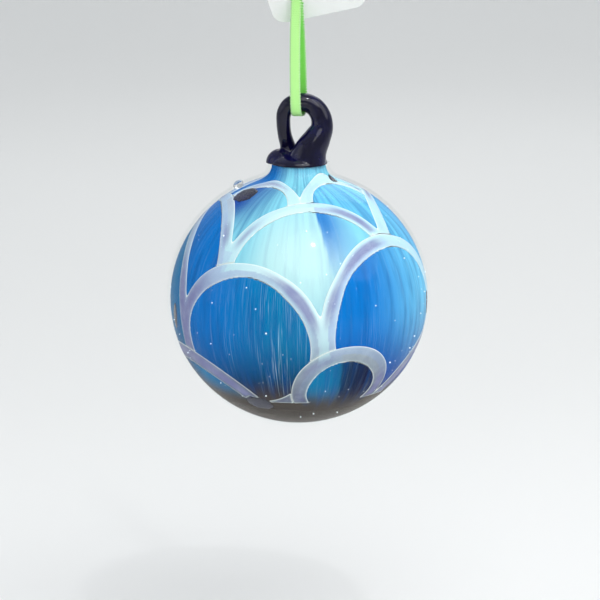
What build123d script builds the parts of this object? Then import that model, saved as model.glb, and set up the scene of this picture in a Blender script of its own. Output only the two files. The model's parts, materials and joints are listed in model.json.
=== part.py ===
from build123d import *

import os
from math import acos, atan2, cos, degrees, radians, sin, tan

# A hand-blown glass ball ornament hanging on a ribbon loop, in millimetres, +Z up.
# The origin is the top of the ribbon loop, under its knot, where a peg or twig carries it.
# The front of the ball faces -Y.

# --- Driving sizes -----------------------------------------------------------------------
ball_radius = 40.0          # widest radius of the ball
flattening = 1.0            # the ball's half height is this much less than its radius
slump = 1.0                 # its widest ring lies this far under the centre of the web
casing_wall = 1.0           # clear glass over the colour
colour_wall = 1.2           # coloured bubble inside it
inlay_depth = 0.4           # white trails and cobalt spots, between colour and casing

neck_radius = 9.2           # outside of the neck, at its flat top
neck_casing = 1.0           # clear glass there
neck_bore = 4.5             # the blowpipe hole, which the hook seals
neck_rise = 2.5             # its flat top stands this far above the top of the ball's oval
flare = 4.3                 # how far the neck spreads before it joins the shoulder

hook_rise = 18.3            # the neck's flat top to the axis of the hook's crown
rod_radius = 2.65           # glass rod at that crown
foot_edge = 0.6             # the hook's foot stops this far inside the neck's rim
foot_height = 3.2
lobe_radius = 4.3           # round end that the rod is pressed into
seal_length = 1.2           # how far the foot sinks into the blowpipe hole

drip_radius = 1.7           # clear bead left on the shoulder
drip_bedding = 1.8          # its centre lies this far under the ball's radius

ribbon_width = 3.3
ribbon_thickness = 0.3
ribbon_gap = 1.0            # the flat ribbon bridges the curve of the rod by this much
loop_drop = 75.0            # peg to the axis of the hook's crown
hole_bend = 12.0            # bend radius where the tag's hole gathers the strands

tag_width = 28.5
tag_height = 42.0
tag_thickness = 0.4
tag_corner = 4.0
tag_hole_room = 1.15        # the punched hole is this much wider than the ribbon, each side
tag_hole_side = 9.4         # hole's centre to the card's left edge
tag_hole_edge = 8.6         # hole's centre to the nearer short edge
tag_above_rod = 32.0        # hole's centre above the axis of the crown
tag_lean = 30.0             # the card leans forward over the taut ribbon, in degrees
tag_turn = 15.0             # and hangs askew by this much

knot_width = 6.4
knot_depth = 5.0
knot_height = 4.6
knot_round = 1.9
tail_length = 13.0          # how far the cut ends stand over the knot
tail_spread = 4.2           # and how far each bends away at its tip

# --- Places that follow from the sizes -----------------------------------------------------
ball_half_height = ball_radius - flattening
foot_radius = neck_radius - foot_edge
tag_hole_radius = ribbon_width / 2 + tag_hole_room
crown_z = -loop_drop
neck_z = crown_z - hook_rise
ball_z = neck_z - neck_rise - ball_half_height
centre_z = ball_z + slump
tag_z = crown_z + tag_above_rod
inlay_radius = ball_radius - casing_wall - inlay_depth / 2
centre = Vector(0, 0, centre_z)

# --- The trailed web -----------------------------------------------------------------------
# Each arch is part of a small circle of the ball: longitude and latitude of its middle (0 faces
# -Y, positive towards +X) and its angular radius, in degrees. A row's arches lean on each other,
# and each row stands on the crowns of the row below.
web_rows = {
    "web_row_1": [(-40, 51, 21.5), (46, 53, 22), (137, 52, 22), (-131, 52, 22)],
    "web_row_2": [(8, 12, 44), (98, 14, 43), (-172, 12, 44), (-83, 11, 43)],
    "web_row_3": [(-26, -12, 34), (50, -4, 37), (142, -8, 51), (-112, -8, 50)],
    "web_row_4": [(23, -34, 19), (94, -44, 28), (-164, -43, 28), (-68, -51, 29)],
}
trail_halves = {"web_row_1": 2.6, "web_row_2": 3.1, "web_row_3": 3.4, "web_row_4": 3.6}
web_floor = 43.0            # the trails end at this latitude south
crumb = 10.0                # what the rows below leave of a ring and is smaller than this melts away

# Cobalt spots: longitude, latitude, half width and half height in millimetres.
spots = [(-63, 62, 3.8, 2.6), (78, 74, 1.9, 1.5), (-25, -46, 3.4, 2.8), (83, -2, 1.6, 3.6),
         (-73, -6, 1.8, 4.2)]
drip_place = (-86, 62)


def outward(longitude, latitude):
    around, up = radians(longitude), radians(latitude)
    return Vector(cos(up) * sin(around), -cos(up) * cos(around), sin(up))


def wall_line(depth, throat):
    """Half outline of a blown surface, this deep inside the ball, that opens into a neck.

    The oval is three arcs with the 3-4-5 triangle between their centres, so walls keep their thickness.
    """
    squash = ball_radius - ball_half_height
    cap = ball_half_height + 1.5 * squash - depth
    belt = ball_radius - 2 * squash - depth
    meet = degrees(atan2(3, 4))
    shoulder = degrees(acos((throat + flare) / cap))
    CenterArc((0, ball_z + 1.5 * squash), cap, -90, 90 - meet)
    CenterArc((2 * squash, ball_z), belt, -meet, 2 * meet)
    top = CenterArc((0, ball_z - 1.5 * squash), cap, meet, shoulder - meet)
    start, slope = top @ 1, top % 1
    bend = (throat, start.Y + slope.Y / slope.X * (throat - start.X))
    Bezier(start, bend, (throat, neck_z))


def glass_shell(outer_depth, outer_throat, inner_depth, inner_throat):
    """Solid of revolution between two blown surfaces."""
    bottom = ball_z - ball_half_height
    with BuildPart() as shell:
        with BuildSketch(Plane.XZ):
            with BuildLine():
                wall_line(outer_depth, outer_throat)
                wall_line(inner_depth, inner_throat)
                Line((outer_throat, neck_z), (inner_throat, neck_z))
                Line((0, bottom + outer_depth), (0, bottom + inner_depth))
            make_face()
        revolve(axis=Axis.Z)
    return shell.part


def blown_blank(depth, throat):
    """The same surface as a full solid, closed flat at the neck's top."""
    with BuildPart() as blank:
        with BuildSketch(Plane.XZ):
            with BuildLine():
                wall_line(depth, throat)
                Polyline((throat, neck_z), (0, neck_z), (0, ball_z - ball_half_height + depth))
            make_face()
        revolve(axis=Axis.Z)
    return blank.part


def slab(longitude, latitude, near, far, mode=Mode.ADD):
    """Round slab across the ball between two angular radii about the given direction."""
    axis = outward(longitude, latitude)
    start = inlay_radius * cos(radians(far))
    thickness = inlay_radius * cos(radians(near)) - start
    with Locations(Plane(centre + axis * start, z_dir=axis).location):
        Cylinder(ball_radius, thickness, align=(Align.CENTER, Align.CENTER, Align.MIN), mode=mode)


# The layer between bubble and casing, which the trails and spots lie in.
colour_throat = neck_radius - neck_casing
inlay_layer = glass_shell(casing_wall, colour_throat,
                          casing_wall + inlay_depth, colour_throat - inlay_depth)

# --- Cobalt spots ----------------------------------------------------------------------------
with BuildPart() as spot_plugs:
    for longitude, latitude, half_width, half_height in spots:
        axis = outward(longitude, latitude)
        east = outward(longitude + 90, 0)
        with BuildSketch(Plane(centre + axis * (ball_radius / 2), x_dir=east, z_dir=axis)):
            Ellipse(half_width, half_height)
        extrude(amount=ball_radius)

with BuildPart() as cobalt_spots:
    add(inlay_layer)
    add(spot_plugs.part, mode=Mode.INTERSECT)

# --- White trails, one garland of arches in each row -------------------------------------------
trails = []
row_names = list(web_rows)
for index, name in enumerate(row_names):
    half = trail_halves[name]
    with BuildPart() as rings:
        for longitude, latitude, size in web_rows[name]:
            slab(longitude, latitude, size - half, size + half)
    with BuildPart() as row:
        add(inlay_layer)
        add(rings.part, mode=Mode.INTERSECT)
        for lower in row_names[index + 1:]:
            for longitude, latitude, size in web_rows[lower]:
                slab(longitude, latitude, 0, size + trail_halves[lower], mode=Mode.SUBTRACT)
        slab(0, -90, 0, 90 - web_floor, mode=Mode.SUBTRACT)
        add(spot_plugs.part, mode=Mode.SUBTRACT)
    garland = Part([solid for solid in row.solids() if solid.volume > crumb])
    garland.label = name
    trails.append(garland)

# --- Coloured bubble, open at its neck; the trails and spots lie on it ---------------------------
with BuildPart() as colour_bubble:
    add(glass_shell(casing_wall + inlay_depth, colour_throat - inlay_depth,
                    casing_wall + inlay_depth + colour_wall, neck_bore))

# --- Clear casing over it ------------------------------------------------------------------------
with BuildPart() as clear_casing:
    add(glass_shell(0, neck_radius, casing_wall, colour_throat))

# --- Clear bead left standing on the shoulder ------------------------------------------------------
drip_axis = outward(*drip_place)

with BuildPart() as clear_drip:
    with Locations(centre + drip_axis * (ball_radius - drip_bedding)):
        Sphere(drip_radius)
    add(blown_blank(0, neck_radius), mode=Mode.SUBTRACT)

# --- Hook: a cobalt rod drawn up from its foot, looped over and crossed behind its own root ------
# Stations along the rod: x, y, height over the neck as a share of the hook's rise, and thickness as
# a share of the rod's at the crown.
rising = [(2.2, -2.0, -0.027, 2.26), (3.6, -1.8, 0.224, 1.85), (5.6, -1.4, 0.426, 1.51),
          (6.9, -0.9, 0.590, 1.26), (6.6, -0.4, 0.765, 1.15), (5.0, -0.1, 0.907, 1.09),
          (2.6, 0.0, 0.989, 1.04), (0.0, 0.0, 1.0, 1.0), (-2.7, 0.2, 0.955, 0.90)]
falling = [rising[-1], (-4.4, 0.5, 0.82, 0.81), (-4.6, 0.9, 0.64, 0.77), (-4.2, 1.7, 0.437, 0.77),
           (-3.3, 2.7, 0.246, 0.87), (-2.8, 3.0, 0.060, 1.21), (-2.7, 3.1, -0.049, 1.36)]
lobe_place = (-5.6, 0.6, neck_z - 0.2)


def rod_sections(stations):
    """Round sections, each square to the line of the stations."""
    whole = rising + falling[1:]
    points = [Vector(x, y, neck_z + share * hook_rise) for x, y, share, _ in whole]
    sections = []
    for station in stations:
        place = whole.index(station)
        along = points[min(place + 1, len(whole) - 1)] - points[max(place - 1, 0)]
        with BuildSketch(Plane(points[place], x_dir=(0, 1, 0), z_dir=along)) as section:
            Circle(station[3] * rod_radius)
        sections.append(section.sketch)
    return sections


with BuildPart() as hook:
    loft(rod_sections(rising))
    loft(rod_sections(falling))
    with Locations(lobe_place):
        Sphere(lobe_radius)
    with BuildSketch(Plane.XZ):
        with BuildLine():
            dome = EllipticalCenterArc((0, neck_z), foot_radius, foot_height, arc_size=90)
            Polyline(dome @ 1, (0, neck_z), dome @ 0)
        make_face()
    revolve(axis=Axis.Z)
    split(bisect_by=Plane.XY.offset(neck_z), keep=Keep.TOP)
    with Locations((0, 0, neck_z)):
        Cylinder(neck_bore, seal_length, align=(Align.CENTER, Align.CENTER, Align.MAX))

# --- Ribbon, doubled under the hook's crown -------------------------------------------------------
bight = rod_radius + ribbon_gap + ribbon_thickness / 2
bight_corner = bight / cos(radians(22.5))
near, far = bight_corner * cos(radians(22.5)), bight_corner * sin(radians(22.5))

# Route in the YZ plane: down in front, under the crown, up behind.
ribbon_route = [(-0.9, -0.3), (-3.4, -4.6), (-4.2, -12.4), (-0.36, tag_z - 0.4),
                (-near, crown_z - far), (-far, crown_z - near), (far, crown_z - near),
                (near, crown_z - far),
                (0.36, tag_z + 0.4), (4.3, -13.1), (3.5, -4.9), (0.95, -0.3)]


def bend_radius(before, corner, after):
    arriving, leaving = Vector(*corner) - Vector(*before), Vector(*after) - Vector(*corner)
    turn = radians(arriving.get_angle(leaving))
    return 0.45 * min(arriving.length, leaving.length) / tan(turn / 2)


ribbon_radii = [bend_radius(*ribbon_route[i - 1:i + 2]) for i in range(1, len(ribbon_route) - 1)]
for i, (y, z) in enumerate(ribbon_route[1:-1]):
    if abs(z - tag_z) < 1:
        ribbon_radii[i] = hole_bend
print("ribbon bend radii, mm:", [round(r, 1) for r in ribbon_radii])

with BuildPart() as ribbon:
    with BuildLine(Plane.YZ) as ribbon_line:
        FilletPolyline(*ribbon_route, radius=ribbon_radii)
    path = ribbon_line.wire()
    with BuildSketch(Plane(path @ 0, x_dir=(1, 0, 0), z_dir=path % 0)):
        Rectangle(ribbon_width, ribbon_thickness)
    sweep(path=path)
print("ribbon length, mm:", round(path.length, 1), "volume over section x length:",
      round(ribbon.part.volume / (path.length * ribbon_width * ribbon_thickness), 4))

# --- Knot that closes the loop, with its two cut tails ---------------------------------------------
with BuildPart() as ribbon_knot:
    with Locations((0, 0, knot_height / 2)):
        Box(knot_width, knot_depth, knot_height)
    fillet(ribbon_knot.edges(), knot_round)
    for side in (-1, 1):
        with BuildSketch(Plane.YZ) as tail:
            with BuildLine():
                ThreePointArc((side * 2 * ribbon_thickness, knot_height - 2 * ribbon_thickness),
                              (side * tail_spread / 3, knot_height + tail_length / 2),
                              (side * tail_spread, knot_height + tail_length))
            trace(line_width=ribbon_thickness)
        extrude(amount=ribbon_width / 2, both=True)

# --- Tag: punched card, threaded on both strands ---------------------------------------------------
lean, askew = radians(tag_lean), radians(tag_turn)
card_plane = Plane((0, 0, tag_z), x_dir=(cos(askew), -sin(lean) * sin(askew), cos(lean) * sin(askew)),
                   z_dir=(0, -cos(lean), -sin(lean)))
with BuildPart() as tag:
    with BuildSketch(card_plane):
        with Locations((tag_width / 2 - tag_hole_side, tag_height / 2 - tag_hole_edge)):
            RectangleRounded(tag_width, tag_height, tag_corner)
        Circle(tag_hole_radius, mode=Mode.SUBTRACT)
    extrude(amount=tag_thickness / 2, both=True)

# --- Write each piece -----------------------------------------------------------------------------
cobalt_spots.part.label = "cobalt_spots"
colour_bubble.part.label = "colour_bubble"
clear_casing.part.label = "clear_casing"
clear_drip.part.label = "clear_drip"
hook.part.label = "hook"
ribbon.part.label = "ribbon"
ribbon_knot.part.label = "ribbon_knot"
tag.part.label = "tag"

os.makedirs("parts", exist_ok=True)
for piece in trails + [b.part for b in (colour_bubble, cobalt_spots, clear_casing, clear_drip,
                                        hook, ribbon, ribbon_knot, tag)]:
    export_step(piece, f"parts/{piece.label}.step")
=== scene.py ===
import json
from math import acos, atan2, cos, pi, radians, sin

import bmesh
import bpy
import numpy as np
from mathutils import Matrix, Vector


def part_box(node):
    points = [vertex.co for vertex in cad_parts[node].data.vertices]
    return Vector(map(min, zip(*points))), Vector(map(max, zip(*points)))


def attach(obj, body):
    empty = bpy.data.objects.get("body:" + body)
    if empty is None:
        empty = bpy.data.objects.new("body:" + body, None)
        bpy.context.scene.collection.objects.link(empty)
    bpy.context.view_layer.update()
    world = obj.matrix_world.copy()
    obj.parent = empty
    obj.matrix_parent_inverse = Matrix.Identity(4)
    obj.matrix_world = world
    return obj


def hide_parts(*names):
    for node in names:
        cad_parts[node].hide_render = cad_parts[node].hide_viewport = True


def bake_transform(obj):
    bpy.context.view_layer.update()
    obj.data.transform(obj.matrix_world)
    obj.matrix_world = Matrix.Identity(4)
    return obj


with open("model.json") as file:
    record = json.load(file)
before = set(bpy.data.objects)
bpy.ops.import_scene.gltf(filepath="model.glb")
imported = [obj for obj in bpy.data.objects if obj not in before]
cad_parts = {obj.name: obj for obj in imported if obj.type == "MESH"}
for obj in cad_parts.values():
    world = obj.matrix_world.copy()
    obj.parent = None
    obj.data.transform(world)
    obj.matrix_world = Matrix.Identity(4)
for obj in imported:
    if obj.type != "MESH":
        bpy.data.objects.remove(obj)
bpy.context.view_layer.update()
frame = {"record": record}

bl_info = {
    "name": "Trailed Glass Ball Ornament",
    "version": (1, 0, 0),
    "blender": (4, 5, 0),
    "location": "3D View > Sidebar > Ornament",
    "description": "Builds a hand-blown glass ball with a trailed web, a glass hook, a ribbon and a tag",
    "category": "Add Mesh",
}

MM = 0.001


def joint_place(name):
    """Where one of the frame's joints stands, in metres."""
    return Vector(next(j["pos_m"] for j in frame["record"]["behaviour"]["joints"] if j["name"] == name))


# Places from the frame, and two of the solid model's sizes that the frame's boxes don't give.
BALL_LOW, BALL_HIGH = (Vector(corner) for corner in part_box("clear_casing"))
CROWN = joint_place("ball_swing")
TAG_HOLE = joint_place("tag_turn")
NECK_Z = BALL_HIGH.z
BALL_RADIUS = BALL_HIGH.x
NECK_RISE = 2.5 * MM
SLUMP = 1.0 * MM
HALF_HEIGHT = (BALL_HIGH.z - NECK_RISE - BALL_LOW.z) / 2
BALL_Z = BALL_LOW.z + HALF_HEIGHT
CENTRE_Z = BALL_Z + SLUMP

# The web's arches, one list for each garland: longitude and latitude of an arch's middle (0 faces -Y,
# positive towards +X), its angular radius, and its cell's colours at left, right and bottom.
# The deep and smoke bottoms of the lower garlands' cells are partly the glass's own darker colour and partly
# painted shade of the lower ball.
WEB = {
    "web_row_1": [(-40, 51, 21.5, "royal", "aqua", "aqua"), (46, 53, 22, "sky", "sky", "sky"),
                  (137, 52, 22, "azure", "sky", "sky"), (-131, 52, 22, "royal", "azure", "aqua")],
    "web_row_2": [(8, 12, 44, "aqua", "aqua", "aqua"), (98, 14, 43, "sky", "azure", "azure"),
                  (-172, 12, 44, "aqua", "sky", "aqua"), (-83, 11, 43, "azure", "azure", "teal")],
    "web_row_3": [(-26, -12, 34, "azure", "teal", "deep"), (50, -4, 37, "azure", "sky", "royal"),
                  (142, -8, 51, "azure", "royal", "deep"), (-112, -8, 50, "royal", "teal", "deep")],
    "web_row_4": [(23, -34, 19, "teal", "deep", "smoke"), (94, -44, 28, "royal", "deep", "smoke"),
                  (-164, -43, 28, "teal", "royal", "smoke"), (-68, -51, 29, "deep", "teal", "smoke")],
}
# Half the width of each garland's trails and the height at which the web stops, in degrees.
TRAIL_HALVES = {"web_row_1": 2.6, "web_row_2": 3.1, "web_row_3": 3.4, "web_row_4": 3.6}
WEB_FLOOR = -43.0

# Cobalt spots: longitude, latitude, half width, half height in millimetres, and tilt in degrees.
SPOTS = [(-62, 61, 4.5, 3.7, 8), (78, 74, 1.9, 1.5, 0), (-25, -45, 4.2, 3.2, -14), (83, -2, 1.6, 3.6, 6),
         (-73, -6, 1.8, 4.2, -8)]
# Longitude and latitude of the clear bead.
DRIP_PLACE = (-86, 62)


def length(name, millimetres, description):
    """A length property, from millimetres."""
    return bpy.props.FloatProperty(name=name, description=description, default=millimetres * MM,
                                   unit="LENGTH")


class OrnamentSizes(bpy.types.PropertyGroup):
    """Sizes of the ornament that may be changed before it is built."""
    casing_wall: length("Casing wall", 1.0, "Clear glass over the colour")
    colour_depth: length("Colour depth", 1.16, "How deep the coloured skin lies")
    colour_wall: length("Colour wall", 1.4, "Thickness of the coloured bubble")
    trail_rise: length("Trail rise", 0.14, "How far a trail stands over the colour")
    flare: length("Neck flare", 4.3, "How far the neck spreads onto the shoulder")
    neck_radius: length("Neck radius", 9.2, "Outside of the neck at its top")
    neck_bore: length("Neck bore", 4.5, "Radius of the blowpipe hole")
    seed_density: bpy.props.FloatProperty(
        name="Seed density", description="Seed bubbles in each square metre of glass", default=13000.0)
    seed_radius: length("Seed radius", 0.26, "Largest seed bubble")
    ribbon_width: length("Ribbon width", 3.3, "Width over the scalloped edges")
    ribbon_thickness: length("Ribbon thickness", 0.3, "Thickness of the weave")
    scallop: length("Scallop pitch", 1.1, "Length of one scallop of the selvedge")
    card_thickness: length("Card thickness", 0.4, "Thickness of the tag")


def tint(name, colour, description):
    """A colour property, from a display colour of 0 to 255 a channel."""
    linear = [((c / 255 + 0.055) / 1.055) ** 2.4 if c > 10 else c / 255 / 12.92 for c in colour]
    return bpy.props.FloatVectorProperty(name=name, description=description, subtype="COLOR", size=3,
                                         min=0.0, max=1.0, default=linear)


class OrnamentColours(bpy.types.PropertyGroup):
    """Colours of the glass, the ribbon and the card."""
    royal: tint("Royal", (2, 62, 160), "Royal blue glass")
    azure: tint("Azure", (0, 118, 202), "Azure glass")
    sky: tint("Sky", (112, 200, 240), "Sky blue glass")
    aqua: tint("Aqua", (136, 212, 230), "Aqua glass")
    # Pale: the front cell's pale glass, also used for the painted light over it.
    pale: tint("Pale", (208, 236, 232), "Nearly white aqua")
    teal: tint("Teal", (0, 124, 176), "Teal glass")
    # Deep and smoke are the glass's own colours low on the ball, darkened partly as painted shade.
    deep: tint("Deep", (2, 18, 62), "Deep cobalt glass")
    smoke: tint("Smoke", (82, 74, 68), "Smoky clear glass at the bottom")
    milk: tint("Milk", (226, 240, 242), "White trail")
    mauve: tint("Mauve", (128, 128, 176), "Core of a trail")
    # Painted shade of the trails low on the ball.
    trail_shade_slate: tint("Slate", (84, 88, 116), "Trail low on the ball")
    cobalt: tint("Cobalt", (6, 4, 30), "Hook and spots")
    lime: tint("Lime", (96, 214, 44), "Ribbon in shade")
    leaf: tint("Leaf", (190, 252, 150), "Ribbon in light")
    card: tint("Card", (250, 250, 246), "Tag")


# --- Node helpers ----------------------------------------------------------------------------------
def new_material(name):
    """A material with a Principled shader, and a short way to reach its parts."""
    material = bpy.data.materials.new(name)
    material.use_nodes = True
    tree = material.node_tree
    return material, tree, tree.nodes["Principled BSDF"], tree.nodes["Material Output"]


def node(tree, kind, settings=(), **inputs):
    """Add a node, set its own settings, and set or link its inputs, named with _ for a space."""
    made = tree.nodes.new(kind)
    for key, value in dict(settings).items():
        setattr(made, key, value)
    for key, value in inputs.items():
        socket = made.inputs[int(key[1:])] if key[1:].isdigit() else made.inputs[key.replace("_", " ")]
        if isinstance(value, bpy.types.NodeSocket):
            tree.links.new(value, socket)
        else:
            socket.default_value = value
    return made


def maths(tree, operation, a, b=0.0, c=0.0):
    return node(tree, "ShaderNodeMath", {"operation": operation}, i0=a, i1=b, i2=c).outputs[0]


def blend_colours(tree, share, a, b, kind="MIX"):
    """Colour a turned into colour b by the share."""
    made = node(tree, "ShaderNodeMix", {"data_type": "RGBA", "blend_type": kind}, i0=share, i6=a, i7=b)
    return made.outputs[2]


def remap(tree, value, low, high, to_low=0.0, to_high=1.0):
    made = node(tree, "ShaderNodeMapRange", {"interpolation_type": "SMOOTHSTEP"}, Value=value)
    for key, number in (("From Min", low), ("From Max", high), ("To Min", to_low), ("To Max", to_high)):
        made.inputs[key].default_value = number
    return made.outputs[0]


def attribute(tree, name):
    return node(tree, "ShaderNodeAttribute", {"attribute_name": name})


def grain(tree, vector, scale, detail=2.0, roughness=0.5):
    return node(tree, "ShaderNodeTexNoise", Vector=vector, Scale=scale, Detail=detail,
                Roughness=roughness).outputs["Fac"]


def object_place(tree):
    return node(tree, "ShaderNodeTexCoord").outputs["Object"]


def bump(tree, height, distance, strength=1.0):
    return node(tree, "ShaderNodeBump", Strength=strength, Distance=distance, Height=height).outputs[0]


def rgba(colour):
    return (*colour, 1.0)


def coat(tree, shader, colour, roughness, specular=0.5):
    """Give a Principled shader its colour and its gloss."""
    tree.links.new(colour, shader.inputs["Base Color"])
    shader.inputs["Roughness"].default_value = roughness
    shader.inputs["Specular IOR Level"].default_value = specular


def mix_shaders(tree, output, share, first, second):
    """Send the first shader to the surface, with the second over it by the share."""
    mixed = node(tree, "ShaderNodeMixShader", Fac=share, i1=first.outputs[0], i2=second.outputs[0])
    tree.links.new(mixed.outputs[0], output.inputs["Surface"])


# --- Materials -------------------------------------------------------------------------------------
def meridian_grain(tree, across, along, detail=2.0):
    """Noise drawn out along the ball's meridians, as glass stretches when it is blown."""
    place = node(tree, "ShaderNodeSeparateXYZ", Vector=object_place(tree))
    flat = node(tree, "ShaderNodeCombineXYZ", X=place.outputs["X"], Y=place.outputs["Y"])
    around = node(tree, "ShaderNodeVectorMath", {"operation": "NORMALIZE"}, i0=flat.outputs[0])
    parts = node(tree, "ShaderNodeSeparateXYZ", Vector=around.outputs[0])
    drawn = node(tree, "ShaderNodeCombineXYZ", X=parts.outputs["X"], Y=parts.outputs["Y"],
                 Z=maths(tree, "MULTIPLY", place.outputs["Z"], along))
    return grain(tree, drawn.outputs[0], across, detail, 0.6)


def make_colour_glass():
    """Coloured skin of the bubble: painted cells, drawn-out streaks, and clearer glass at the bottom."""
    material, tree, shader, output = new_material("streaked_colour_glass")
    hue = attribute(tree, "hue").outputs["Color"]
    fine = meridian_grain(tree, 150.0, 0.35, 3.0)
    broad = meridian_grain(tree, 16.0, 3.0)
    ink, frost = (0.004, 0.085, 0.33, 1.0), (0.62, 0.86, 0.95, 1.0)
    pooled = maths(tree, "MULTIPLY", remap(tree, broad, 0.38, 0.72, 0.0, 0.45),
                   attribute(tree, "depth").outputs["Fac"])
    drawn = maths(tree, "MULTIPLY", remap(tree, fine, 0.56, 0.72), attribute(tree, "streaks").outputs["Fac"])
    streaked = blend_colours(tree, drawn, blend_colours(tree, pooled, hue, ink), frost)
    coat(tree, shader, streaked, 0.3, 0.0)
    see_through = node(tree, "ShaderNodeBsdfTransparent", Color=(0.62, 0.58, 0.52, 1.0))
    mix_shaders(tree, output, attribute(tree, "body").outputs["Fac"], see_through, shader)
    return material


def make_clear_glass():
    """Clear casing: lets the colour through and mirrors the room, most at the rim."""
    material, tree, shader, output = new_material("clear_casing_glass")
    tree.nodes.remove(shader)
    wave = bump(tree, grain(tree, object_place(tree), 45.0), 0.0006, 0.18)
    through = node(tree, "ShaderNodeBsdfTransparent", Color=(0.985, 0.995, 0.995, 1.0))
    mirror = node(tree, "ShaderNodeBsdfGlossy", Color=(1.0, 1.0, 1.0, 1.0), Roughness=0.11, Normal=wave)
    facing = node(tree, "ShaderNodeLayerWeight", Blend=0.5, Normal=wave).outputs["Facing"]
    grazing = maths(tree, "POWER", facing, 5.0)
    sheen = maths(tree, "MULTIPLY_ADD", grazing, 0.70, 0.013)
    outside = maths(tree, "SUBTRACT", 1.0, node(tree, "ShaderNodeNewGeometry").outputs["Backfacing"])
    mix_shaders(tree, output, maths(tree, "MULTIPLY", sheen, outside), through, mirror)
    return material


def make_bead_glass():
    """Solid clear glass for the bead."""
    material, tree, shader, output = new_material("clear_bead_glass")
    shader.inputs["Transmission Weight"].default_value = 1.0
    shader.inputs["Roughness"].default_value = 0.02
    shader.inputs["IOR"].default_value = 1.5
    through = node(tree, "ShaderNodeBsdfTransparent", Color=(0.9, 0.95, 0.96, 1.0))
    shadow = node(tree, "ShaderNodeLightPath").outputs["Is Shadow Ray"]
    mix_shaders(tree, output, shadow, shader, through)
    return material


def make_trail_glass(colours):
    """White trail: a painted highlight along its fine edges, a milky body and a mauve core that comes and
    goes.
    """
    material, tree, shader, _ = new_material("milk_trail_glass")
    inset = attribute(tree, "inset").outputs["Fac"]
    hue = attribute(tree, "hue").outputs["Color"]
    place = object_place(tree)
    patches = remap(tree, grain(tree, place, 38.0, 1.0), 0.38, 0.58)
    core = maths(tree, "MULTIPLY", remap(tree, inset, 0.35, 1.9), patches)
    body = blend_colours(tree, maths(tree, "MULTIPLY", core, 0.85), hue, rgba(colours.mauve))
    clouds = remap(tree, grain(tree, place, 300.0, 4.0, 0.6), 0.35, 0.8, 0.0, 0.16)
    cloudy = blend_colours(tree, clouds, body, rgba(colours.milk))
    # Painted highlight: towards its edges the trail turns to milk, and a fine near-white line runs along the
    # edge itself.
    edge_highlight_share = maths(tree, "SUBTRACT", 1.0, remap(tree, inset, 0.0, 0.75))
    highlit_body = blend_colours(tree, maths(tree, "MULTIPLY", edge_highlight_share, 0.35), cloudy, rgba(colours.milk))
    line = maths(tree, "SUBTRACT", 1.0, remap(tree, inset, 0.08, 0.26))
    highlit_edges = blend_colours(tree, maths(tree, "MULTIPLY", line, 0.85), highlit_body, (0.95, 0.98, 0.94, 1.0))
    coat(tree, shader, highlit_edges, 0.25, 0.0)
    return material


def make_cobalt_glass(colours):
    """Near-black cobalt glass with a painted blue glint at its edges and a high gloss."""
    material, tree, shader, _ = new_material("cobalt_gloss_glass")
    facing = node(tree, "ShaderNodeLayerWeight", Blend=0.35).outputs["Facing"]
    swirl = remap(tree, grain(tree, object_place(tree), 160.0, 3.0), 0.45, 0.7)
    # The lighter edge blue is a painted glint, strongest where the surface turns away towards the outline.
    swirl_blue, painted_glint_blue = (0.003, 0.004, 0.050, 1.0), (0.006, 0.008, 0.14, 1.0)
    deep = blend_colours(tree, maths(tree, "MULTIPLY", swirl, 0.6), rgba(colours.cobalt), swirl_blue)
    glint = blend_colours(tree, maths(tree, "MULTIPLY", facing, 0.25), deep, painted_glint_blue)
    coat(tree, shader, glint, 0.05, 0.35)
    return material


def make_seed_glass():
    """Seed bubbles: points of trapped air, made bright by a faint painted shine."""
    material, _, shader, _ = new_material("seed_bubble_glass")
    shader.inputs["Base Color"].default_value = (0.86, 0.96, 1.0, 1.0)
    shader.inputs["Roughness"].default_value = 0.08
    # Painted light: the bubbles shine faintly on their own, for the sparkle that trapped air catches.
    shader.inputs["Emission Color"].default_value = (0.8, 0.93, 1.0, 1.0)
    shader.inputs["Emission Strength"].default_value = 0.35
    return material


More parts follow.
